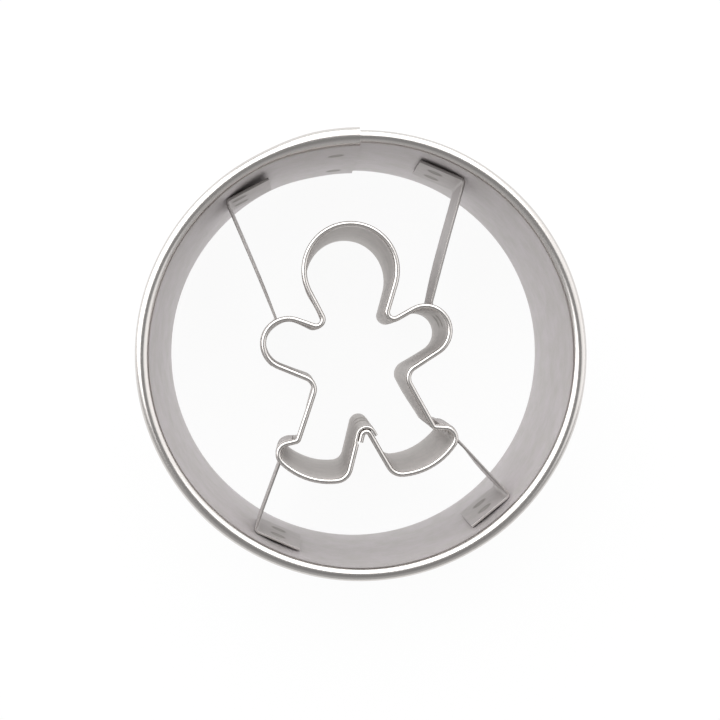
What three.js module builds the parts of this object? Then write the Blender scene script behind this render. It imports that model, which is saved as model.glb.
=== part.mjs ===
// Linzer cookie cutter: a round ring with a rolled top edge, a gingerbread-man band standing inside it, and
// four bent struts that carry the band. Every strip is thin stainless steel, lapped and spot welded.
// Millimetres, +Z up. The origin is the middle of the ring on the cutting plane, +Y points at the head's end.
import * as THREE from 'three';

const { degToRad } = THREE.MathUtils;

// Sheet metal
const SHEET = 0.3; // thickness of every strip
const FAYING_GAP = 0.1; // space between two lapped sheets, which the spot welds bridge
const CHORD_ERROR = 0.012; // how far a facet may lie from a true arc
const WIDEST_STEP = degToRad(20);
const SAME_PLACE = 1e-4; // stations closer than this are one
const SAME_ANGLE = 1e-6;

// Outer ring
const RING_DIAMETER = 48; // outside of the wall
const CUTTER_HEIGHT = 20; // cutting edge to the top of the rolled edge
const BEAD_DIAMETER = 1.57; // outside of the rolled edge
const BEAD_TURN = degToRad(270);
const BEAD_STEPS = 14;
const RING_END_ANGLE = degToRad(91); // where the strip's visible end lies
const RING_LAP = 3.6; // length over which the two ends overlap
const RING_RAMP = 8; // length over which the sheet steps inwards before the lap
const RING_LAP_STEPS = 12;
const RING_SEAM_ANGLE = degToRad(97); // where the lap's welds lie
const RING_SEAM_HEIGHTS = { upper: 14, lower: 3 };

// Figure band, in its own frame: x across, y up from its middle, right half only. The discs follow the middle of
// the hemmed top edge, and the wall below it lies inside them by half the hem.
const FIGURE_HEIGHT = 18.5;
const FIGURE_TURN = degToRad(5.5);
const FIGURE_MIDDLE = new THREE.Vector2(-0.42, -0.04);
const HEM = 0.3; // the sheet folded over on the outside of the top edge
const HEM_HEIGHT = 1.4;
const HEM_IN_LAP = 0.04; // what is left of it on the inner layer of the lap, where it is pressed flat
const EDGE_STEPS = 6; // facets round the folded edge
const HEAD = { x: 0, y: 9.75, r: 5.25 };
const NECK = { x: 4.42, y: 4.62, r: 0.78 };
const HAND = { x: 7.75, y: 2.2, r: 2.8 };
const ARMPIT = { x: 6.75, y: -3.05, r: 1.4 };
const ANKLE = { x: 8.05, y: -8.35, r: 0.45 };
const TOE = { x: 8.88, y: -10.15, r: 1.2 };
const HEEL = { x: 3.85, y: -11.85, r: 1.75 };
const SOLE_RADIUS = 7.5;
const CROTCH = { x: 0, y: -8.85, r: 0.9 };
const SEAM_END_ANGLE = degToRad(196); // left-hand end of the outer layer's round part, seen round the crotch
const SEAM_TAIL = 0.5; // straight end of each layer along the leg
const SEAM_CLEARANCE = 0.3; // from the outer layer's end to the full hem

// Struts: a tab on the ring, a bend, a straight run, a bend and a tab wrapped on a hand or a toe
const STRUT_WIDTH = 8.5; // height of the strip
const STRUT_TOP = { upper_left: 15.2, upper_right: 15.8, lower_left: 16.2, lower_right: 16.8 };
const RING_TAB = 5.2; // flat, so it bridges the hollow of the wall between its bend and its free end
const TAB_STANDOFF = { upper_left: 0.5, upper_right: 0.08, lower_left: 0.08, lower_right: 0.04 }; // free end
const TAB_WELD_AT = { upper_left: 1.1, upper_right: 2.9, lower_left: 2.3, lower_right: 2.6 }; // from the bend
const BEND_RADIUS = 0.5;
const FREE_END = 0.01; // radius of the disc that stands for a tab's free end
const TOE_TAB_SETBACK = 0.45; // from the ankle's notch to the free end of a toe tab
const STRUTS = [
  { name: 'upper_left', turn: -1, side: -1, hold: HAND, leave: 124, wrap: 110, ring: 130.4 },
  { name: 'upper_right', turn: 1, side: 1, hold: HAND, leave: 60, wrap: 42, ring: 60.5 },
  { name: 'lower_left', turn: 1, side: -1, hold: TOE, leave: 214, ring: 239.6 },
  { name: 'lower_right', turn: -1, side: 1, hold: TOE, leave: -3, ring: -44.4 },
];

// Spot welds
const WELD_DIAMETER = 1.4;
const WELD_CLEARANCE = 0.02; // from a weld's face to each sheet
const WELD_STEPS = 6;
const WELD_TIP = 0.18; // half height of the patch where its round outline starts and ends
const WELD_PITCH = 3.6; // between the two welds of a joint
const WELD_SETBACK = degToRad(12); // from a figure bend to the rim of its welds

const LAYER = SHEET + FAYING_GAP; // from the middle of one sheet to the middle of the next
const WALL_RADIUS = (RING_DIAMETER - SHEET) / 2; // middle of the ring's sheet
const BEAD_MIDDLE = (BEAD_DIAMETER - SHEET) / 2; // radius of the rolled sheet's middle
const BEAD_HEIGHT = CUTTER_HEIGHT - BEAD_DIAMETER / 2;
const RING_TAB_RADIUS = WALL_RADIUS - LAYER;

const brushedSteel = { color: 0xb9b3b0, roughness: 0.36, metalness: 1 };
const rolledSteel = { color: 0xc2bcba, roughness: 0.28, metalness: 1 };
const weldSteel = { color: 0x8d8886, roughness: 0.55, metalness: 1 };

const cutter = new THREE.Group();

function addPiece(name, geometry, finish) {
  const piece = new THREE.Mesh(geometry, new THREE.MeshStandardMaterial(finish));
  piece.name = name;
  cutter.add(piece);
}

// A station is a plan point on a strip's middle line with the unit normal on the left of the run. On a disc
// with a positive turn radius the run turns left about the disc, with a negative one it turns right.
function stationOn(disc, normalAngle) {
  const nx = Math.cos(normalAngle);
  const ny = Math.sin(normalAngle);
  return { x: disc.x - disc.turn * nx, y: disc.y - disc.turn * ny, nx, ny };
}

function normalAt(disc, placeAngle) {
  return disc.turn > 0 ? placeAngle + Math.PI : placeAngle;
}

function arcStations(disc, fromNormal, sweep, leastSteps = 1) {
  const step = Math.min(WIDEST_STEP, 2 * Math.sqrt(2 * CHORD_ERROR / Math.abs(disc.turn)));
  const steps = Math.max(leastSteps, Math.ceil(Math.abs(sweep) / step));
  return Array.from({ length: steps + 1 }, (_, i) => stationOn(disc, fromNormal + sweep * i / steps));
}

// Normal angle of the straight line that leaves one disc and meets the next.
function tangentNormal(from, to) {
  const distance = Math.hypot(to.x - from.x, to.y - from.y);
  const lean = THREE.MathUtils.clamp((to.turn - from.turn) / distance, -1, 1);
  return Math.atan2(to.y - from.y, to.x - from.x) + Math.acos(lean);
}

function alongRun(station, distance) {
  return { ...station, x: station.x + station.ny * distance, y: station.y - station.nx * distance };
}

// Runs a strip's middle line round a row of discs, as a belt runs round pulleys. It starts on the first disc
// at startNormal and ends on the last at endNormal.
function beltStations(discs, startNormal, endNormal) {
  const normals = [startNormal];
  for (let i = 1; i < discs.length; i += 1) {
    normals.push(tangentNormal(discs[i - 1], discs[i]));
  }
  normals.push(endNormal);
  const stations = [];
  discs.forEach((disc, i) => {
    const way = Math.sign(disc.turn);
    const turned = THREE.MathUtils.euclideanModulo(way * (normals[i + 1] - normals[i]), 2 * Math.PI);
    const sweep = turned > 2 * Math.PI - SAME_ANGLE ? 0 : way * turned;
    stations.push(...arcStations(disc, normals[i], sweep));
  });
  return stations.filter((place, i) => {
    const last = stations[i - 1];
    return !last || Math.hypot(place.x - last.x, place.y - last.y) > SAME_PLACE;
  });
}

// Sweeps a closed section along the stations and caps both ends. The section is a row of pairs, out along the
// normal and up, counter-clockwise when looked at against the run.
function sweepStrip(stations, sectionAt) {
  const sections = stations.map(sectionAt);
  const count = sections[0].length;
  const corners = [];
  const triangles = [];
  stations.forEach((place, row) => {
    for (const [out, up] of sections[row]) {
      corners.push(place.x + place.nx * out, place.y + place.ny * out, up);
    }
  });
  for (let row = 0; row + 1 < stations.length; row += 1) {
    for (let i = 0; i < count; i += 1) {
      const a = row * count + i;
      const b = row * count + (i + 1) % count;
      triangles.push(a, b, b + count, a, b + count, a + count);
    }
  }
  const capOf = (row) => {
    const outline = sections[row].map(([out, up]) => new THREE.Vector2(out, up));
    return THREE.ShapeUtils.triangulateShape(outline, []);
  };
  const lastRow = (stations.length - 1) * count;
  capOf(0).forEach(([a, b, c]) => triangles.push(a, c, b));
  capOf(stations.length - 1).forEach(([a, b, c]) => triangles.push(lastRow + a, lastRow + b, lastRow + c));
  const geometry = new THREE.BufferGeometry();
  geometry.setAttribute('position', new THREE.Float32BufferAttribute(corners, 3));
  geometry.setIndex(triangles);
  geometry.computeVertexNormals();
  return geometry;
}

function flatSection(thickness, bottom, top) {
  const half = thickness / 2;
  return [[-half, bottom], [half, bottom], [half, top], [-half, top]];
}

// Spot weld: a round patch of fused metal between a sheet and the next one out. The stations run along the
// inner sheet's middle line with the outer sheet on their left, and gapAt tells how far off it lies.
function addWeld(name, stations, gapAt, height) {
  const reach = WELD_DIAMETER / 2;
  const section = (place, i) => {
    const along = reach * (2 * i / (stations.length - 1) - 1);
    const half = Math.sqrt(Math.max(WELD_TIP ** 2, reach ** 2 - along ** 2));
    const near = SHEET / 2 + WELD_CLEARANCE;
    const far = SHEET / 2 + gapAt(place) - WELD_CLEARANCE;
    return [[near, height - half], [far, height - half], [far, height + half], [near, height + half]];
  };
  addPiece(name, sweepStrip(stations, section), weldSteel);
}

function addWeldPair(name, stations, gapAt, height) {
  addWeld(`${name}_upper`, stations, gapAt, height + WELD_PITCH / 2);
  addWeld(`${name}_lower`, stations, gapAt, height - WELD_PITCH / 2);
}

function roundWeld(middle, radius, placeAngle) {
  const sweep = WELD_DIAMETER / radius;
  return arcStations({ x: middle.x, y: middle.y, turn: -radius }, placeAngle + sweep / 2, -sweep, WELD_STEPS);
}

const pressedGap = () => FAYING_GAP;

// Outer ring: one strip rolled round clockwise. Its last stretch steps inwards by a layer and laps its own
// start, so the rolled edge there nests over the one beneath.
const ringAxis = { x: 0, y: 0, turn: -WALL_RADIUS };
const lapSweep = RING_LAP / WALL_RADIUS;
const rampSweep = RING_RAMP / WALL_RADIUS;
const ringStart = RING_END_ANGLE + lapSweep;
const ringSingle = arcStations(ringAxis, ringStart, rampSweep - 2 * Math.PI);
const ringLapped = arcStations(ringAxis, ringStart + rampSweep, -rampSweep - lapSweep, RING_LAP_STEPS);

function ringSection(lift) {
  const beadPoint = (i, side) => {
    const angle = Math.PI - BEAD_TURN * i / BEAD_STEPS;
    const radius = BEAD_MIDDLE + lift + side * SHEET / 2;
    return [BEAD_MIDDLE + radius * Math.cos(angle), BEAD_HEIGHT + radius * Math.sin(angle)];
  };
  const steps = Array.from({ length: BEAD_STEPS + 1 }, (_, i) => i);
  const innerFace = [[-lift - SHEET / 2, 0], ...steps.map((i) => beadPoint(i, 1))];
  const outerFace = [[-lift + SHEET / 2, 0], ...steps.map((i) => beadPoint(i, -1))];
  return [...outerFace, ...innerFace.reverse()];
}

function lapLift(i) {
  const turned = (rampSweep + lapSweep) * i / (ringLapped.length - 1);
  return LAYER * THREE.MathUtils.smoothstep(turned, 0, rampSweep);
}

const ringStations = [...ringSingle, ...ringLapped.slice(1)];
const ringLift = (i) => (i < ringSingle.length ? 0 : lapLift(i - ringSingle.length + 1));
addPiece('outer_ring', sweepStrip(ringStations, (_, i) => ringSection(ringLift(i))), rolledSteel);
const ringSeam = roundWeld(ringAxis, RING_TAB_RADIUS, RING_SEAM_ANGLE);
for (const [name, height] of Object.entries(RING_SEAM_HEIGHTS)) {
  addWeld(`weld_ring_seam_${name}`, ringSeam, pressedGap, height);
}

// Figure band: discs of the right half, mirrored to the left, then turned and placed in the ring.
function onFigure(disc, side, turn) {
  const place = new THREE.Vector2(side * disc.x, disc.y);
  place.rotateAround(new THREE.Vector2(), FIGURE_TURN).add(FIGURE_MIDDLE);
  return { x: place.x, y: place.y, turn };
}

// The sole is an arc that touches the toe's and the heel's discs from outside.
function soleDisc() {
  const toHeel = SOLE_RADIUS - HEEL.r;
  const toToe = SOLE_RADIUS - TOE.r;
  const span = Math.hypot(TOE.x - HEEL.x, TOE.y - HEEL.y);
  const along = (toHeel ** 2 - toToe ** 2 + span ** 2) / (2 * span);
  const across = Math.sqrt(toHeel ** 2 - along ** 2);
  const ux = (TOE.x - HEEL.x) / span;
  const uy = (TOE.y - HEEL.y) / span;
  return { x: HEEL.x + along * ux - across * uy, y: HEEL.y + along * uy + across * ux, r: SOLE_RADIUS };
}

const sole = soleDisc();
const legAndArm = [[HEEL, -1], [sole, -1], [TOE, -1], [ANKLE, 1], [ARMPIT, 1], [HAND, -1], [NECK, 1]];
const onSide = (side) => legAndArm.map(([disc, turn]) => onFigure(disc, side, turn * disc.r + HEM / 2));
const head = onFigure(HEAD, 1, HEM / 2 - HEAD.r);
const innerLayer = onFigure(CROTCH, 1, CROTCH.r + HEM / 2);
const outerLayer = { ...innerLayer, turn: innerLayer.turn - LAYER };
const figureDiscs = [innerLayer, ...onSide(-1), head, ...onSide(1).reverse(), outerLayer];
const seamStart = tangentNormal(onSide(1)[0], outerLayer);
const seamEnd = normalAt(outerLayer, SEAM_END_ANGLE + FIGURE_TURN);
const figureStations = beltStations(figureDiscs, seamStart, seamEnd);
figureStations.unshift(alongRun(figureStations[0], -SEAM_TAIL));
figureStations.push(alongRun(figureStations.at(-1), SEAM_TAIL));

// The hem starts where the outer layer ends on the left leg, so that leg's straight is cut there.
const pastOuterEnd = SEAM_TAIL + SEAM_CLEARANCE;
const legStart = figureStations.findIndex((place, i) => {
  const next = figureStations[i + 1];
  return Math.hypot(next.x - place.x, next.y - place.y) > pastOuterEnd;
});
const cuts = [pastOuterEnd, pastOuterEnd + HEM].map((distance) => alongRun(figureStations[legStart], distance));
figureStations.splice(legStart + 1, 0, ...cuts);

function figureSection(hem) {
  const edge = (SHEET + hem) / 2;
  const fold = Array.from({ length: EDGE_STEPS + 1 }, (_, i) => {
    const angle = Math.PI * i / EDGE_STEPS;
    return [hem / 2 + edge * Math.cos(angle), FIGURE_HEIGHT - edge + edge * Math.sin(angle)];
  });
  const hemFoot = FIGURE_HEIGHT - HEM_HEIGHT;
  return [[-SHEET / 2, 0], [SHEET / 2, 0], [SHEET / 2, hemFoot], [SHEET / 2 + hem, hemFoot], ...fold];
}

const hemAt = (i) => (i <= legStart + 1 ? HEM_IN_LAP : HEM);
addPiece('figure_band', sweepStrip(figureStations, (_, i) => figureSection(hemAt(i))), brushedSteel);
const figureSeam = roundWeld(outerLayer, outerLayer.turn, Math.PI / 2 + FIGURE_TURN);
addWeldPair('weld_figure_seam', figureSeam, pressedGap, FIGURE_HEIGHT / 2);

// Struts: each starts on the figure, leaves it at a bend, runs to the ring and turns along the wall.
function bendAt(centre, reach, angle, turn) {
  return { x: centre.x + reach * Math.cos(angle), y: centre.y + reach * Math.sin(angle), turn };
}

// From a sheet's outer face, along its normal, to the inside of the ring's wall.
function gapToWall(place) {
  const out = place.x * place.nx + place.y * place.ny;
  const across = place.x * place.ny - place.y * place.nx;
  return Math.sqrt((WALL_RADIUS - SHEET / 2) ** 2 - across ** 2) - out - SHEET / 2;
}

for (const { name, turn, side, hold, leave, wrap, ring } of STRUTS) {
  const leaveAngle = degToRad(leave);
  const ringAngle = degToRad(ring);
  const onToe = wrap === undefined;
  const wallRadius = hold.r - HEM / 2;
  const held = onFigure(hold, side, turn * (wallRadius + LAYER));
  const ankle = onFigure(ANKLE, side, -turn * (ANKLE.r + HEM / 2 - LAYER));
  const figureBend = bendAt(held, wallRadius + LAYER + BEND_RADIUS, leaveAngle, -turn * BEND_RADIUS);
  const ringBend = bendAt(ringAxis, RING_TAB_RADIUS - BEND_RADIUS, ringAngle, turn * BEND_RADIUS);
  const freeAngle = ringAngle + turn * RING_TAB / RING_TAB_RADIUS;
  const freeEnd = bendAt(ringAxis, RING_TAB_RADIUS - TAB_STANDOFF[name], freeAngle, turn * FREE_END);
  const wrapStart = onToe
    ? tangentNormal(ankle, held)
    : normalAt(held, leaveAngle - turn * degToRad(wrap));
  const tabNormal = tangentNormal(ringBend, freeEnd);
  const stations = beltStations([held, figureBend, ringBend, freeEnd], wrapStart, tabNormal);
  if (onToe) {
    const shoeTop = Math.hypot(stations[0].x - ankle.x, stations[0].y - ankle.y) - TOE_TAB_SETBACK;
    stations.unshift(alongRun(stations[0], -shoeTop));
  }
  const top = STRUT_TOP[name];
  const strip = flatSection(SHEET, top - STRUT_WIDTH, top);
  addPiece(`strut_${name}`, sweepStrip(stations, () => strip), brushedSteel);

  const middle = top - STRUT_WIDTH / 2;
  const figureWeld = leaveAngle - turn * (WELD_DIAMETER / (2 * wallRadius) + WELD_SETBACK);
  addWeldPair(`weld_${name}_figure`, roundWeld(held, wallRadius, figureWeld), pressedGap, middle);
  const onTab = alongRun(stationOn(ringBend, tabNormal), TAB_WELD_AT[name]);
  const facingWall = { ...onTab, nx: -turn * onTab.nx, ny: -turn * onTab.ny };
  const ringWeld = Array.from({ length: WELD_STEPS + 1 }, (_, i) =>
    alongRun(facingWall, WELD_DIAMETER * (i / WELD_STEPS - 0.5)));
  addWeldPair(`weld_${name}_ring`, ringWeld, gapToWall, middle);
}

export default cutter;
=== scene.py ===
import math

import bmesh
import bpy
import numpy as np
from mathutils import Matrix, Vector, noise


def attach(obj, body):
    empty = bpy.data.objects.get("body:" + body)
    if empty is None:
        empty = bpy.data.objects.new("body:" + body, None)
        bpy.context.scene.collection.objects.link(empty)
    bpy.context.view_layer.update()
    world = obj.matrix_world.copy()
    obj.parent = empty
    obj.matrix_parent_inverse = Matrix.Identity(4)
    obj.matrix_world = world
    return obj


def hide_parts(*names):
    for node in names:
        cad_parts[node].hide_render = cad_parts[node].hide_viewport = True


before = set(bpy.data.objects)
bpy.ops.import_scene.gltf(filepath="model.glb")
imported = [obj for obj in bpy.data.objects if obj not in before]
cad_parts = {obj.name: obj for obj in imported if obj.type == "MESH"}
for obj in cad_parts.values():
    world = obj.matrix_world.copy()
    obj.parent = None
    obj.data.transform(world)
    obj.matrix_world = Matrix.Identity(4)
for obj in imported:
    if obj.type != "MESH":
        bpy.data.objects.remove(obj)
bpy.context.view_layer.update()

# Outer ring: one strip of thin stainless steel whose top edge is curled outwards to a round bead on
# rollers. The strip is bent to a ring, and its ends lap and are spot welded, one bead nesting over the other.
MM = 0.001  # sizes are in millimetres, where no other unit is given
WALL_RADIUS = 23.85  # middle of the sheet
RING_END = math.radians(91)  # where the end that lies inside the lap shows
RING_LAP = 3.6
RING_RAMP = 8.0  # length over which that end steps inwards before the lap
NEST = 0.33  # how far it steps, as the two ends press on each other
ring_length = math.tau * WALL_RADIUS + RING_LAP
ring_start = RING_END + RING_LAP / WALL_RADIUS


def lap_lift(run):
    """How far the ring's strip has stepped inwards: not at all, then by the nest over the ramp."""
    share = np.clip((run - (ring_length - RING_LAP - RING_RAMP)) / RING_RAMP, 0, 1)
    return NEST * share ** 2 * (3 - 2 * share)


def ring_stations(run):
    """Clockwise round the wall: plan points, each with the sheet's normal, towards the middle of the ring."""
    angle = ring_start - run / WALL_RADIUS
    inward = -np.stack([np.cos(angle), np.sin(angle)], axis=1)
    return np.concatenate([-inward * (WALL_RADIUS - lap_lift(run))[:, None], inward], axis=1)


def run_of(line):
    """Length along a line of stations."""
    return np.concatenate([[0], np.cumsum(np.hypot(*np.diff(line[:, :2], axis=0).T))])


def stations_at(line, places):
    """The line's stations at other lengths along it."""
    run = run_of(line)
    found = np.stack([np.interp(places, run, column) for column in line.T], axis=1)
    found[:, 2:] /= np.linalg.norm(found[:, 2:], axis=1, keepdims=True)
    return found


# Each weld shows on the faces that look away from it, as an electrode's hollow with heat tint round it.
LAYER = 0.4  # from the middle of one sheet to that of the sheet lapped on it
DENT_RADIUS = 0.75
DENT_STRETCH = 1.25  # along the strip, as the electrode rocks
DENT_DEPTH = 0.025
DENT_STEP = 0.2  # between the mesh's points in a dent
DENT_MARGIN = 1.3  # how far round a dent these points go, as a share of its size
MARK_RIM = 1.1  # of the heat tint, and how softly it ends, as shares of the hollow's radius
MARK_FADE = 0.5
MIDDLE_CORNERS = 4  # of a weld's patch, at the middle of its length


def fine_places(start, end, step, close_ups):
    """Even places from start to end, closer together round each close-up, so that a dent has its shape."""
    reach = DENT_RADIUS * DENT_STRETCH * DENT_MARGIN
    even = np.linspace(start, end, round((end - start) / step) + 1)
    close = [np.arange(-reach, reach, DENT_STEP) + at for at in close_ups]
    places = np.sort(np.concatenate([even, *close]))
    places = places[(places > start) & (places < end)]
    kept = [start]
    for place in places:
        if place - kept[-1] > DENT_STEP / 2 and end - place > DENT_STEP / 2:
            kept.append(place)
    return np.array([*kept, end])


def weld_place(weld):
    """Middle of a weld's patch, which may be curved."""
    corners = np.array([weld.matrix_world @ vertex.co for vertex in weld.data.vertices]) / MM
    corners = np.unique(corners.round(4), axis=0)  # each once, as its faces may repeat it
    centre = (corners.min(axis=0) + corners.max(axis=0)) / 2
    from_centre = np.hypot(*(corners - centre)[:, :2].T)
    return corners[np.argsort(from_centre)[:MIDDLE_CORNERS]].mean(axis=0)


weld_places = [weld_place(node) for name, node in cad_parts.items() if name.startswith("weld_")]


def weld_dents(line):
    """Each weld on a strip, looked for in both halves: its run, its height and the face with its dent."""
    places = np.arange(0, run_of(line)[-1], DENT_STEP / 2)
    fine = stations_at(line, places)
    dents = []
    for x, y, z in weld_places:
        for half in np.array_split(np.arange(len(places)), 2):
            to_weld = np.array([x, y]) - fine[half, :2]
            far = np.hypot(*to_weld.T)
            nearest = np.argmin(far)
            if far[nearest] < LAYER:
                facing = to_weld[nearest] @ fine[half[nearest], 2:]
                dents.append((places[half[nearest]], z, -math.copysign(1, facing)))
    return dents


def weld_prints(run, rise, dents, side):
    """Depth of the dents on one face of a strip, and the heat tint, which shows on both faces."""
    away = [
        np.hypot((run[:, None] - at) / DENT_STRETCH, rise - height) / DENT_RADIUS for at, height, _ in dents
    ]
    press = [np.clip(1 - far, 0, 1) * (face == side) for far, (_, _, face) in zip(away, dents)]
    depth = DENT_DEPTH * np.sin(np.pi / 2 * np.max(press, axis=0)) ** 2
    tint = np.max([np.clip((MARK_RIM - far) / MARK_FADE, 0, 1) for far in away], axis=0)
    return depth, tint


# The sheet is slightly uneven from hand-fed rollers, and its edges bulge where it was sheared.
SHEET = 0.3
WAVE_HEIGHT = 0.03
WAVE_LENGTH = 7.0
SHEARED_EDGE = 0.3  # bulge of a cut edge, as a share of half the sheet
EDGE_STEPS = 8
CREASE = math.radians(38)  # least angle between two faces that shows as an edge
FACE_SHIFT = 200.0  # keeps the finish of a strip's two faces apart


def uneven(middle, normal, nominal):
    """Move a middle surface in and out a little, by a slow noise at the nominal place of each point."""
    wave = [WAVE_HEIGHT * noise.noise(Vector(point) / WAVE_LENGTH) for point in nominal.reshape(-1, 3)]
    return middle + normal * np.reshape(wave, (*middle.shape[:2], 1))


def closed_mesh(name, skin):
    """A mesh from the points round each section of a strip, in mm, with a cap at both ends."""
    sections, count = skin.shape[:2]
    here = np.arange((sections - 1) * count).reshape(-1, count)
    after = np.roll(here, -1, axis=1)
    quads = np.stack([here, after, after + count, here + count], axis=-1).reshape(-1, 4)
    caps = [list(range(count)), list(range((sections - 1) * count, sections * count))]
    mesh = bpy.data.meshes.new(name)
    mesh.from_pydata((skin.reshape(-1, 3) * MM).tolist(), [], quads.tolist() + caps)
    shape = bmesh.new()
    shape.from_mesh(mesh)
    bmesh.ops.recalc_face_normals(shape, faces=shape.faces)
    shape.to_mesh(mesh)
    shape.free()
    mesh.shade_smooth()
    mesh.set_sharp_from_angle(angle=CREASE)
    return mesh


def formed_strip(name, middle, normal, run, rise, dents, bulges, hem=0.0):
    """Skin both faces of a sheet from its middle surface, press its weld dents, and round its edges by their
    bulges. A hem lies on the face that the normals point out of."""
    half = SHEET / 2
    hem = np.broadcast_to(hem, middle.shape[:2])
    skin = []
    place = []
    mark = []
    for side in (1, -1):
        order = slice(None, None, side)
        depth, tint = weld_prints(run, rise, dents, side)
        out = half - depth + hem * (side > 0)
        along = run[:, None] + FACE_SHIFT * side
        skin.append((middle + side * normal * out[..., None])[:, order])
        place.append(np.stack(np.broadcast_arrays(along, rise, rise[-1] - rise), axis=-1)[:, order])
        mark.append(tint[:, order])
        edge = len(rise) - 1 if side > 0 else 0
        outward = middle[:, edge] - middle[:, edge - side]
        outward /= np.linalg.norm(outward, axis=1, keepdims=True)
        fold = hem[:, edge, None] / 2
        edge_middle = middle[:, edge] + normal[:, edge] * fold
        for angle in np.linspace(0, np.pi, EDGE_STEPS + 1)[1:-1]:
            across = side * normal[:, edge] * math.cos(angle)
            beyond = outward * bulges[side] * math.sin(angle)
            skin.append((edge_middle + (half + fold) * (across + beyond))[:, None])
            place.append(place[-1][:, -1:])
            mark.append(mark[-1][:, -1:])
    mesh = closed_mesh(name, np.concatenate(skin, axis=1))
    strip_place = mesh.attributes.new("strip_place", "FLOAT_VECTOR", "POINT")
    strip_place.data.foreach_set("vector", np.concatenate(place, axis=1).ravel())
    weld_mark = mesh.attributes.new("weld_mark", "FLOAT", "POINT")
    weld_mark.data.foreach_set("value", np.concatenate(mark, axis=1).ravel())
    piece = bpy.data.objects.new(name, mesh)
    bpy.context.collection.objects.link(piece)
    return piece


# The wall stands on its cutting edge, and the curl goes on from it, over the top and down on the outside.
BEAD_RADIUS = 0.635  # middle of the curled sheet
BEAD_HEIGHT = 19.215  # middle of the bead
BEAD_TURN = math.radians(270)
BEAD_STEP = math.radians(7.5)
BEAD_PINCH = 0.05  # both ends' beads are pinched smaller in the lap
WALL_STEP = 0.8
RING_SAMPLES = 1500
LEVEL = ((0, 0), (0, 1))  # how plan points are padded with a height of 0
ring_dents = weld_dents(ring_stations(np.linspace(0, ring_length, RING_SAMPLES)))
ring_run = fine_places(0, ring_length, WALL_STEP, [at for at, _, _ in ring_dents])
cutting_edge = SHEARED_EDGE * SHEET / 2
wall_rise = fine_places(cutting_edge, BEAD_HEIGHT, WALL_STEP, [height for _, height, _ in ring_dents])
curl = np.linspace(0, BEAD_TURN, round(BEAD_TURN / BEAD_STEP) + 1)[1:]
curl_angle = np.concatenate([np.zeros(len(wall_rise)), curl])
ring_rise = np.concatenate([wall_rise, BEAD_HEIGHT + BEAD_RADIUS * curl])
wall_height = np.minimum(ring_rise, BEAD_HEIGHT)
to_lap = np.maximum(np.minimum(ring_run, ring_length - ring_run) - RING_LAP, 0)
pinch = BEAD_PINCH * np.clip(1 - to_lap / RING_RAMP, 0, 1)
bead = (BEAD_RADIUS + lap_lift(ring_run) - pinch)[:, None]
outward_by = bead * (1 - np.cos(curl_angle))
height = wall_height + bead * np.sin(curl_angle)
stations = ring_stations(ring_run)
wall_foot = np.pad(stations[:, :2], LEVEL)[:, None]
inward = np.pad(stations[:, 2:], LEVEL)[:, None]
upward = np.array([0.0, 0.0, 1.0])
middle = wall_foot - inward * outward_by[..., None] + upward * height[..., None]
turned = curl_angle[None, :, None]
normal = inward * np.cos(turned) + upward * np.sin(turned)
nominal = -inward * WALL_RADIUS + upward * wall_height[None, :, None]
middle = uneven(middle, normal, nominal)
outer_ring = formed_strip(
    "cutter_ring", middle, normal, ring_run, ring_rise, ring_dents, {1: SHEARED_EDGE, -1: SHEARED_EDGE},
)

# Stainless strip, 2B mill finish: cold rolled, pickled and lightly skin passed. It gives a soft, slightly
# warm grey with fine lines along the rolling, faint lilac and olive clouds, and dull heat tint at the welds.
GRAIN_LENGTH = 9.0
GRAIN_WIDTH = 0.22  # real rolling lines are about 0.03 mm wide, drawn coarser so that they show
GRAIN_DEPTH = 0.003
GRAIN_SPAN = (0.3, 0.7)  # of the noise, from the smoothest lines to the roughest
GRAIN_ROUGHNESS = 0.03  # what they take from the roughness or add to it
CLOUD_LENGTH = 3.2
CLOUD_WIDTH = 2.8
CLOUD_SPAN = (0.38, 0.62)  # of the noise, from the darkest clouds to the lightest
EDGE_FADE = 0.9  # share of the worked edge's depth where its own finish is full
HEAT_TINT = "#79766B"
TINT_RISE = 1.5  # the tint grows from the mark's rim inwards
TINT_FALL = 1.15  # and is weaker in the hollow, which the electrode kept cool
TINT_ROUGHNESS = 0.25
BURNISHED = "#D8D4D1"
BURNISHED_ROUGHNESS = 0.25


def linear(hex_colour):
    """sRGB hex to linear RGBA."""
    shares = [int(hex_colour[i:i + 2], 16) / 255 for i in (1, 3, 5)]
    return [*(s / 12.92 if s <= 0.04045 else ((s + 0.055) / 1.055) ** 2.4 for s in shares), 1.0]


def add_node(tree, kind, inputs, **settings):
    """Add a node, set it up, and give each input a value or a link."""
    node = tree.nodes.new(kind)
    for name, value in settings.items():
        setattr(node, name, value)
    for socket, value in inputs.items():
        if isinstance(value, bpy.types.NodeSocket):
            tree.links.new(value, node.inputs[socket])
        else:
            node.inputs[socket].default_value = value
    return node


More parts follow.
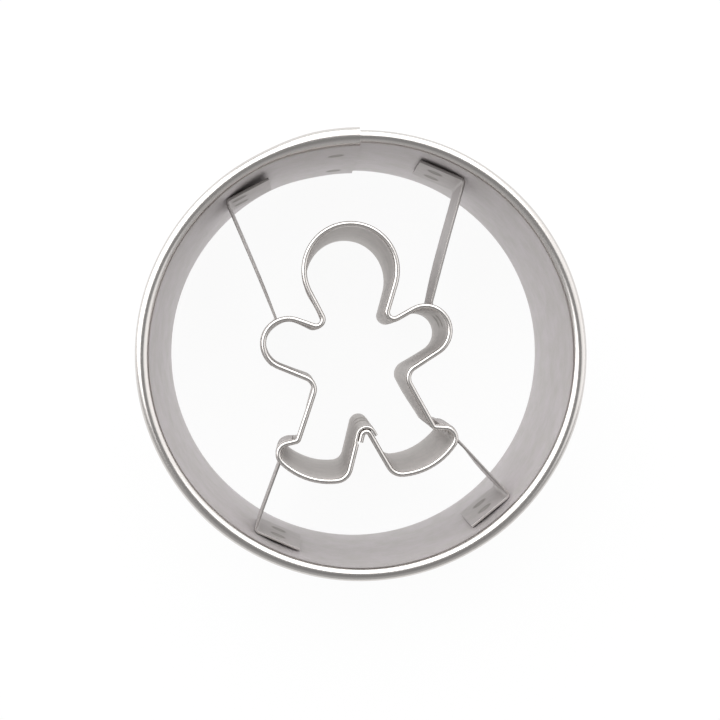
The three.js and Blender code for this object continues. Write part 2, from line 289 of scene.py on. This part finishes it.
def mill_finish(name, light, dark, roughness, edge_depth, edge_colour, edge_roughness):
    """The strip's finish, with another one from its top edge down to a depth, where tools have worked it; a
    darker edge colour paints shade there instead.
    """
    material = bpy.data.materials.new(name)
    material.use_nodes = True
    tree = material.node_tree
    tree.nodes.clear()
    place = add_node(tree, "ShaderNodeAttribute", {}, attribute_name="strip_place").outputs["Vector"]
    weld = add_node(tree, "ShaderNodeAttribute", {}, attribute_name="weld_mark").outputs["Fac"]
    along = add_node(tree, "ShaderNodeMapping", {
        "Vector": place, "Scale": (1 / GRAIN_LENGTH, 1 / GRAIN_WIDTH, 0),
    }).outputs["Vector"]
    grain = add_node(tree, "ShaderNodeTexNoise", {"Vector": along, "Scale": 1, "Detail": 3}).outputs["Fac"]
    patch = add_node(tree, "ShaderNodeMapping", {
        "Vector": place, "Scale": (1 / CLOUD_LENGTH, 1 / CLOUD_WIDTH, 0),
    }).outputs["Vector"]
    clouds = add_node(tree, "ShaderNodeTexNoise", {
        "Vector": patch, "Scale": 1, "Detail": 6, "Roughness": 0.75,
    }).outputs["Fac"]
    cloudy = add_node(tree, "ShaderNodeMapRange", {
        "Value": clouds, "From Min": CLOUD_SPAN[0], "From Max": CLOUD_SPAN[1],
    }).outputs["Result"]
    steel = add_node(tree, "ShaderNodeMixRGB", {
        "Fac": cloudy, "Color1": linear(dark), "Color2": linear(light),
    }).outputs["Color"]
    below = add_node(tree, "ShaderNodeSeparateXYZ", {"Vector": place}).outputs["Z"]
    # From the top edge down: a burnish, or painted shade where the edge colour is darker than the steel.
    at_top_edge = add_node(tree, "ShaderNodeMapRange", {
        "Value": below, "From Min": edge_depth, "From Max": edge_depth * EDGE_FADE,
    }).outputs["Result"]
    steel_with_edge = add_node(tree, "ShaderNodeMixRGB", {
        "Fac": at_top_edge, "Color1": steel, "Color2": linear(edge_colour),
    }).outputs["Color"]
    hollow = add_node(tree, "ShaderNodeMath", {
        0: weld, 1: -TINT_FALL, 2: TINT_RISE,
    }, operation="MULTIPLY_ADD").outputs["Value"]
    tint = add_node(tree, "ShaderNodeMath", {0: weld, 1: hollow}, operation="MULTIPLY").outputs["Value"]
    tinted = add_node(tree, "ShaderNodeMixRGB", {
        "Fac": tint, "Color1": steel_with_edge, "Color2": linear(HEAT_TINT),
    }).outputs["Color"]
    streaky = add_node(tree, "ShaderNodeMapRange", {
        "Value": grain, "From Min": GRAIN_SPAN[0], "From Max": GRAIN_SPAN[1],
        "To Min": roughness - GRAIN_ROUGHNESS, "To Max": roughness + GRAIN_ROUGHNESS,
    }).outputs["Result"]
    smooth = add_node(tree, "ShaderNodeMix", {
        "Factor": at_top_edge, "A": streaky, "B": edge_roughness,
    }).outputs["Result"]
    rough = add_node(tree, "ShaderNodeMath", {
        0: tint, 1: TINT_ROUGHNESS, 2: smooth,
    }, operation="MULTIPLY_ADD").outputs["Value"]
    lines = add_node(tree, "ShaderNodeBump", {
        "Height": grain, "Strength": 0.25, "Distance": GRAIN_DEPTH * MM,
    }).outputs["Normal"]
    surface = add_node(tree, "ShaderNodeBsdfPrincipled", {
        "Base Color": tinted, "Metallic": 1, "Roughness": rough, "Normal": lines,
    }).outputs["BSDF"]
    add_node(tree, "ShaderNodeOutputMaterial", {"Surface": surface})
    return material


def set_in_place(piece, node, material):
    """Give a strip its finish and let it stand for its solid."""
    piece.data.materials.append(material)
    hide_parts(node)
    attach(piece, "root")


ring_steel = mill_finish(
    "stainless_mill_finish_curled", light="#D4CFD1", dark="#CBC8C6", roughness=0.62,
    edge_depth=BEAD_RADIUS * BEAD_TURN, edge_colour=BURNISHED, edge_roughness=BURNISHED_ROUGHNESS,
)
set_in_place(outer_ring, "outer_ring", ring_steel)

# Figure band: one strip of the same steel, bent round pins to the outline of a gingerbread man. Its top edge
# is hemmed outwards so that it doesn't cut the hand, and its ends lap between the legs, where they are spot
# welded.
HEM = 0.3  # the sheet folded over on the outside
FIGURE_TURN = math.radians(5.5)
FIGURE_MIDDLE = (-0.42, -0.04)
HEAD = (0, 9.75, 5.25)  # discs of the right half: x, y and the radius of the hemmed edge's middle
NECK = (4.42, 4.62, 0.78)
HAND = (7.75, 2.2, 2.8)
ARMPIT = (6.75, -3.05, 1.4)
ANKLE = (8.05, -8.35, 0.45)
TOE = (8.88, -10.15, 1.2)
HEEL = (3.85, -11.85, 1.75)
SOLE_RADIUS = 7.5
CROTCH = (0, -8.85, 0.9)
SEAM_TAIL = 0.5  # straight end of the inner layer along the right leg
SEAM_END = 0.8  # and of the outer layer along the left leg
SEAM_CLEARANCE = 0.1  # from the outer layer's end to the full hem
BEND_STEP = math.radians(5)
NO_TURN = 1e-6  # radians short of a full turn


def on_figure(disc, side, turn):
    """A disc of the figure in the ring's plan. Its turn is positive where the run turns left round it."""
    x, y = side * disc[0], disc[1]
    cos, sin = math.cos(FIGURE_TURN), math.sin(FIGURE_TURN)
    return (FIGURE_MIDDLE[0] + x * cos - y * sin, FIGURE_MIDDLE[1] + x * sin + y * cos, turn)


def touching_disc(one, two, radius):
    """The disc of that radius that holds both discs inside and touches them, on the left from one to two."""
    to_one = radius - one[2]
    to_two = radius - two[2]
    span = math.dist(one[:2], two[:2])
    along = (to_one ** 2 - to_two ** 2 + span ** 2) / (2 * span)
    across = math.sqrt(to_one ** 2 - along ** 2)
    ux, uy = (two[0] - one[0]) / span, (two[1] - one[1]) / span
    return (one[0] + along * ux - across * uy, one[1] + along * uy + across * ux, radius)


def tangent_normal(one, two):
    """Angle of the sheet's normal on the straight that leaves one disc and meets the next."""
    distance = math.dist(one[:2], two[:2])
    lean = max(-1, min(1, (two[2] - one[2]) / distance))
    return math.atan2(two[1] - one[1], two[0] - one[0]) + math.acos(lean)


def belt(discs, start_normal, end_normal):
    """Stations of a strip that runs round a row of discs, as a belt round pulleys, normals on its left."""
    normals = [start_normal, *(tangent_normal(*pair) for pair in zip(discs, discs[1:])), end_normal]
    stations = []
    for (x, y, turn), begin, end in zip(discs, normals, normals[1:]):
        way = math.copysign(1, turn)
        turned = way * (end - begin) % math.tau
        sweep = 0 if turned > math.tau - NO_TURN else way * turned
        for angle in np.linspace(begin, begin + sweep, math.ceil(abs(sweep) / BEND_STEP) + 1):
            nx, ny = math.cos(angle), math.sin(angle)
            stations.append((x - turn * nx, y - turn * ny, nx, ny))
    return np.array(stations)


def past_end(station, distance):
    """A station further along the strip, or before it, on a straight."""
    x, y, nx, ny = station
    return (x + ny * distance, y - nx * distance, nx, ny)


sole = touching_disc(HEEL, TOE, SOLE_RADIUS)
leg_and_arm = [(HEEL, -1), (sole, -1), (TOE, -1), (ANKLE, 1), (ARMPIT, 1), (HAND, -1), (NECK, 1)]
left_side, right_side = (
    [on_figure(disc, side, turn * disc[2] + HEM / 2) for disc, turn in leg_and_arm] for side in (-1, 1)
)
head = on_figure(HEAD, 1, HEM / 2 - HEAD[2])
inner_layer = on_figure(CROTCH, 1, CROTCH[2] + HEM / 2)
outer_layer = (*inner_layer[:2], inner_layer[2] - LAYER)
figure_discs = [inner_layer, *left_side, head, *reversed(right_side), outer_layer]
right_leg = tangent_normal(right_side[0], outer_layer)
left_leg = tangent_normal(inner_layer, left_side[0])
outline = belt(figure_discs, right_leg, left_leg)
outline = np.vstack([past_end(outline[0], -SEAM_TAIL), outline, past_end(outline[-1], SEAM_END)])
inner_bend = (left_leg - right_leg) % math.tau * inner_layer[2]
hem_start = SEAM_TAIL + inner_bend + SEAM_END + SEAM_CLEARANCE
hem_full = hem_start + HEM
figure_line = stations_at(outline, np.union1d(run_of(outline), [hem_start, hem_full]))

# Bending by hand leaves the strips off their drawing.
STRAYS = [  # place, reach, shift at the cutting edge and at the top edge
    ((-7.9, 1.6), 4.0, (-0.5, -0.4), (0.0, 0.0)),  # left hand
    ((-11.2, 2.0), 1.8, (-0.3, 0.1), (0.0, 0.0)),  # its tip
    ((-7.4, 4.0), 1.7, (-0.05, 0.6), (0.0, 0.0)),  # its upper side
    ((-4.3, 6.0), 1.6, (0.4, 0.0), (0.0, 0.0)),  # left of the neck
    ((7.1, 3.1), 4.0, (0.65, -0.25), (0.0, 0.0)),  # right hand
    ((-7.6, -9.1), 1.7, (0.1, -1.0), (0.0, 0.0)),  # top of the left shoe
    ((8.3, -7.6), 1.8, (0.5, -0.25), (0.0, 0.0)),  # right ankle
    ((0.7, -11.5), 5.0, (0.0, -0.22), (0.0, -0.22)),  # both feet
    ((12.3, -10.9), 1.8, (0.55, 0.5), (0.0, 0.0)),  # lower right strut
]
FIGURE_HEIGHT = 18.5
HEM_HEIGHT = 1.4
HEM_IN_LAP = 0.04  # what is left of the hem on the inner layer of the lap, where it is pressed flat
FOLDED_EDGE = 1.0  # bulge of the folded top edge, a half round
EDGE_ROW = 0.03  # a narrow row beside each edge keeps the face's shading flat
STRAIGHT_STEP = 0.6
LEAST_STEP = 0.02


def hand_bent(points):
    """Points of a strip, moved by the strays near them."""
    moved = points.copy()
    up = points[..., 2:] / FIGURE_HEIGHT
    for place, reach, at_bottom, at_top in STRAYS:
        apart = np.sum((points[..., :2] - place) ** 2, axis=-1, keepdims=True)
        near = np.exp(-apart / (2 * reach ** 2))
        moved[..., :2] += near * (np.multiply(at_bottom, 1 - up) + np.multiply(at_top, up))
    return moved


def bent_strip(name, line, bottom, top, bulges, hem_at=None):
    """A strip that stands on the line, from bottom to top, with a hem whose width is given along the run."""
    dents = weld_dents(line)
    corners = run_of(line)
    straight = fine_places(0, corners[-1], STRAIGHT_STEP, [at for at, _, _ in dents])
    run = np.unique(np.concatenate([corners, straight]).round(3))  # to the micron
    run = run[np.append(True, np.diff(run) > LEAST_STEP)]
    hem = hem_at(run)[:, None] if hem_at else np.zeros((len(run), 1))
    low = bottom + bulges[-1] * SHEET / 2
    high = top - bulges[1] * (SHEET + hem.max()) / 2
    breaks = [low, top - HEM_HEIGHT, high] if hem_at else [low, high]
    heights = [height for _, height, _ in dents]
    rows = [fine_places(a + EDGE_ROW, b - EDGE_ROW, WALL_STEP, heights) for a, b in zip(breaks, breaks[1:])]
    rise = np.concatenate([[low], *rows, [high]])
    stations = stations_at(line, run)
    flat = np.ones((len(run), len(rise)))
    middle = np.stack([flat * stations[:, :1], flat * stations[:, 1:2], flat * rise], axis=-1)
    middle[:, -1, 2] += (hem.max() - hem[:, 0]) / 2
    normal = np.stack([flat * stations[:, 2:3], flat * stations[:, 3:], flat * 0], axis=-1)
    hem = hem * (rise > top - HEM_HEIGHT)
    middle = hand_bent(uneven(middle, normal, middle))
    return formed_strip(name, middle, normal, run, rise, dents, bulges, hem)


figure_band = bent_strip(
    "gingerbread_band", figure_line, 0, FIGURE_HEIGHT, {1: FOLDED_EDGE, -1: SHEARED_EDGE},
    lambda run: np.interp(run, [hem_start, hem_full], [HEM_IN_LAP, HEM]),
)
band_steel = mill_finish(
    "stainless_mill_finish_bent", light="#CFCAC8", dark="#C5C2BF", roughness=0.62,
    edge_depth=EDGE_ROW, edge_colour=BURNISHED, edge_roughness=BURNISHED_ROUGHNESS,
)
set_in_place(figure_band, "figure_band", band_steel)

# Struts: four narrow strips of the same steel that carry the band in the ring. Each is bent by hand to a tab
# that wraps a hand or a toe, a straight run, and a flat tab on the ring's wall, both held by two spot welds.
STRUT_WIDTH = 8.5
RING_TAB = 5.2
RING_TAB_RADIUS = WALL_RADIUS - LAYER
BEND_RADIUS = 0.5
FREE_END = 0.01  # radius of the disc at a tab's free end
TOE_TAB_SETBACK = 0.45  # of its end from the ankle
RUBBED_EDGE = 0.45  # bulge of the top edge, lightly deburred
STRUTS = {  # height of the top edge, and the bends, with angles in degrees
    "upper_left": (15.2, dict(turn=-1, side=-1, hold=HAND, leave=124, wrap=110, ring=130.4, standoff=0.5)),
    "upper_right": (15.8, dict(turn=1, side=1, hold=HAND, leave=66, wrap=48, ring=60.5, standoff=0.08)),
    "lower_left": (16.2, dict(turn=1, side=-1, hold=TOE, leave=214, wrap=None, ring=239.6, standoff=0.08)),
    "lower_right": (16.8, dict(turn=-1, side=1, hold=TOE, leave=-3, wrap=None, ring=-44.4, standoff=0.04)),
}


def bend_at(centre, reach, angle, turn):
    """A disc to bend round, at an angle and a reach from a centre."""
    return (centre[0] + reach * math.cos(angle), centre[1] + reach * math.sin(angle), turn)


def strut_line(turn, side, hold, leave, wrap, ring, standoff):
    """From the tab on the figure, by two bends, to the free end of the flat tab on the ring. The first tab
    wraps its disc by an angle or, where none is given, goes on along the top of the shoe."""
    leave_angle = math.radians(leave)
    ring_angle = math.radians(ring)
    tab_radius = hold[2] - HEM / 2 + LAYER
    held = on_figure(hold, side, turn * tab_radius)
    ankle = on_figure(ANKLE, side, -turn * (ANKLE[2] + HEM / 2 - LAYER))
    figure_bend = bend_at(held, tab_radius + BEND_RADIUS, leave_angle, -turn * BEND_RADIUS)
    ring_bend = bend_at((0, 0), RING_TAB_RADIUS - BEND_RADIUS, ring_angle, turn * BEND_RADIUS)
    free_angle = ring_angle + turn * RING_TAB / RING_TAB_RADIUS
    free_end = bend_at((0, 0), RING_TAB_RADIUS - standoff, free_angle, turn * FREE_END)
    if wrap is None:
        start = tangent_normal(ankle, held)
    else:
        start = leave_angle - turn * math.radians(wrap) + (math.pi if turn > 0 else 0)
    line = belt([held, figure_bend, ring_bend, free_end], start, tangent_normal(ring_bend, free_end))
    if wrap is None:
        shoe_top = math.dist(line[0, :2], ankle[:2]) - TOE_TAB_SETBACK
        line = np.vstack([past_end(line[0], -shoe_top), line])
    return line


# The struts' top edges are painted a darker grey than their faces, as shade that keeps them dull; their
# rougher finish is their own.
strut_steel = mill_finish(
    "stainless_mill_finish_strut", light="#CCC7C7", dark="#C1BEBC", roughness=0.6,
    edge_depth=EDGE_ROW, edge_colour="#A19D9B", edge_roughness=0.5,
)
for name, (top, bends) in STRUTS.items():
    piece = bent_strip(
        f"bent_strut_{name}", strut_line(**bends), top - STRUT_WIDTH, top, {1: RUBBED_EDGE, -1: SHEARED_EDGE},
    )
    set_in_place(piece, f"strut_{name}", strut_steel)

# Spot welds: lenses of fused steel between lapped sheets, made by a current through two copper electrodes.
# They stay as the frame has them, in the gaps, dull grey and grainy with a dark oxide bloom.
GRAIN_SIZE = 0.25  # of the frozen steel
PIT_DEPTH = 0.02
weld_steel = bpy.data.materials.new("fused_steel_oxide_bloom")
weld_steel.use_nodes = True
tree = weld_steel.node_tree
tree.nodes.clear()
place = add_node(tree, "ShaderNodeTexCoord", {}).outputs["Object"]
grains = add_node(tree, "ShaderNodeTexVoronoi", {
    "Vector": place, "Scale": 1 / (GRAIN_SIZE * MM),
}).outputs["Distance"]
oxide = add_node(tree, "ShaderNodeMixRGB", {
    "Fac": grains, "Color1": linear("#8D8886"), "Color2": linear("#5E544C"),
}).outputs["Color"]
pits = add_node(tree, "ShaderNodeBump", {
    "Height": grains, "Strength": 0.5, "Distance": PIT_DEPTH * MM,
}).outputs["Normal"]
fused = add_node(tree, "ShaderNodeBsdfPrincipled", {
    "Base Color": oxide, "Metallic": 1, "Roughness": 0.55, "Normal": pits,
}).outputs["BSDF"]
add_node(tree, "ShaderNodeOutputMaterial", {"Surface": fused})
for name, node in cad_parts.items():
    if name.startswith("weld_"):
        node.data.materials.clear()
        node.data.materials.append(weld_steel)

# Floor: a sheet of matt white card. Seen by the camera and in the steel it is mostly plain white, with a
# share of its real shading, which keeps the cutter's shadow.
FLOOR_HALF = 1.5  # metres
FLOOR_DROP = 0.02  # keeps the card clear of the cutting edges
FLOOR_WHITE = "#F4F4F4"
PLAIN_WHITE = "#FFFFFF"
PLAIN_IN_VIEW = 0.94  # shares of plain white, for the camera and in the steel
PLAIN_IN_STEEL = 0.9
floor_mesh = bpy.data.meshes.new("floor")
corners = [(-1, -1), (1, -1), (1, 1), (-1, 1)]
floor_mesh.from_pydata(
    [(x * FLOOR_HALF, y * FLOOR_HALF, -FLOOR_DROP * MM) for x, y in corners], [], [(0, 1, 2, 3)],
)
floor = bpy.data.objects.new("floor", floor_mesh)
bpy.context.collection.objects.link(floor)
card = bpy.data.materials.new("matt_white_card")
card.use_nodes = True
tree = card.node_tree
tree.nodes.clear()
ray = add_node(tree, "ShaderNodeLightPath", {}).outputs
shaded = add_node(tree, "ShaderNodeBsdfDiffuse", {"Color": linear(FLOOR_WHITE)}).outputs["BSDF"]
plain = add_node(tree, "ShaderNodeEmission", {
    "Color": linear(PLAIN_WHITE), "Strength": 1,
}).outputs["Emission"]
in_steel = add_node(tree, "ShaderNodeMath", {
    0: ray["Is Glossy Ray"], 1: PLAIN_IN_STEEL,
}, operation="MULTIPLY").outputs["Value"]
share = add_node(tree, "ShaderNodeMath", {
    0: ray["Is Camera Ray"], 1: PLAIN_IN_VIEW, 2: in_steel,
}, operation="MULTIPLY_ADD").outputs["Value"]
surface = add_node(tree, "ShaderNodeMixShader", {0: share, 1: shaded, 2: plain}).outputs["Shader"]
add_node(tree, "ShaderNodeOutputMaterial", {"Surface": surface})
floor_mesh.materials.append(card)

# Studio light: a pale room, a large softbox on the left and one behind the head end, and a weaker one on
# the right. The room is white where the camera looks past the floor.
ROOM_LEVEL = 0.5
CEILING_LEVEL = 0.25
WALL_TOP = 0.5  # where the room's level begins to fade, as the sine of the angle upwards
CEILING_START = 0.9  # where it has reached the ceiling's, likewise
LAMP_DISTANCE = 0.5  # metres, as the lamps' sizes are
world = bpy.data.worlds.new("pale_room")
bpy.context.scene.world = world
world.use_nodes = True
tree = world.node_tree
tree.nodes.clear()
ray = add_node(tree, "ShaderNodeLightPath", {}).outputs
way = add_node(tree, "ShaderNodeTexCoord", {}).outputs["Generated"]
upwards = add_node(tree, "ShaderNodeSeparateXYZ", {"Vector": way}).outputs["Z"]
lit = add_node(tree, "ShaderNodeMapRange", {
    "Value": upwards, "From Min": WALL_TOP, "From Max": CEILING_START,
    "To Min": ROOM_LEVEL, "To Max": CEILING_LEVEL,
}).outputs["Result"]
level = add_node(tree, "ShaderNodeMapRange", {
    "Value": ray["Is Camera Ray"], "To Min": lit, "To Max": 1,
}).outputs["Result"]
room = add_node(tree, "ShaderNodeBackground", {
    "Color": linear(PLAIN_WHITE), "Strength": level,
}).outputs["Background"]
add_node(tree, "ShaderNodeOutputWorld", {"Surface": room})


def softbox(name, azimuth, elevation, width, height, radiance):
    """A rectangular lamp that faces the cutter, with the brightness of its cloth."""
    lamp = bpy.data.lights.new(name, "AREA")
    lamp.shape = "RECTANGLE"
    lamp.size = width
    lamp.size_y = height
    lamp.energy = radiance * math.pi * width * height
    stand = bpy.data.objects.new(name, lamp)
    turn, lift = math.radians(azimuth), math.radians(elevation)
    towards = Vector((math.cos(lift) * math.cos(turn), math.cos(lift) * math.sin(turn), math.sin(lift)))
    stand.location = towards * LAMP_DISTANCE
    stand.rotation_euler = towards.to_track_quat("Z", "Y").to_euler()
    bpy.context.collection.objects.link(stand)


softbox("left_softbox", azimuth=152, elevation=37, width=0.55, height=0.62, radiance=2.3)
softbox("head_softbox", azimuth=85, elevation=40, width=0.55, height=0.6, radiance=2.1)
softbox("right_softbox", azimuth=25, elevation=35, width=0.8, height=0.6, radiance=0.85)

# Camera: almost straight above the cutter and close to it, as the photograph was taken. Its place and field
# of view make the bead, the wall's lower edge and the figure fall where the photograph has them.
CAMERA_PLACE = (-6.654, 2.3465, 135.147)
CAMERA_TILT = (0.0237, 0.0542)  # radians about X and Y
PHOTO_SIDE = 720  # pixels, as the focal length
FOCAL_LENGTH = 1038.83
NEAREST_SEEN = 5.0
camera_data = bpy.data.cameras.new("camera")
camera_data.sensor_fit = "HORIZONTAL"
camera_data.angle = 2 * math.atan(PHOTO_SIDE / 2 / FOCAL_LENGTH)
camera_data.clip_start = NEAREST_SEEN * MM
camera = bpy.data.objects.new("camera", camera_data)
camera.location = Vector(CAMERA_PLACE) * MM
camera.rotation_mode = "YXZ"
camera.rotation_euler = (-CAMERA_TILT[0], -CAMERA_TILT[1], 0)
bpy.context.collection.objects.link(camera)
bpy.context.scene.camera = camera
bpy.context.scene.view_settings.view_transform = "Standard"
